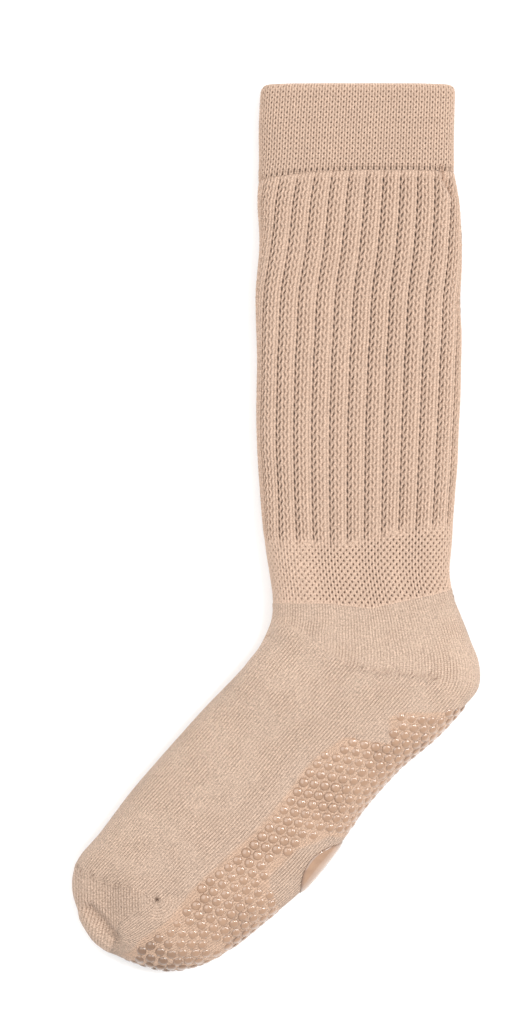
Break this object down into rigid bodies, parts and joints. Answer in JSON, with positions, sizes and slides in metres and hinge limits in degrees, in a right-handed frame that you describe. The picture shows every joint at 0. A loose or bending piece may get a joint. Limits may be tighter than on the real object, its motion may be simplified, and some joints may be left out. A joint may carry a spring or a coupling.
{
  "type": "slipper sock",
  "caption": "Long knitted slipper sock lying empty on its side, with a double cuff, ribbed leg, mesh ankle band and a rubber dot print on the sole.",
  "frame": {"origin": "centre of the bounding box on the floor that the sock lies on", "axes": "+Y up the leg towards the collar, +Z through the thickness away from the floor, the foot slants down towards -X with its sole facing +X and -Y"},
  "size_m": [0.2056, 0.448, 0.032],
  "materials": {
    "knit": "matte beige cotton knit",
    "grip": "tan translucent rubber print, satin"
  },
  "bodies": {
    "root": {"knit_sock": "knit", "grip_print": "grip", "plain_pad": "grip"}
  },
  "joints": []
}
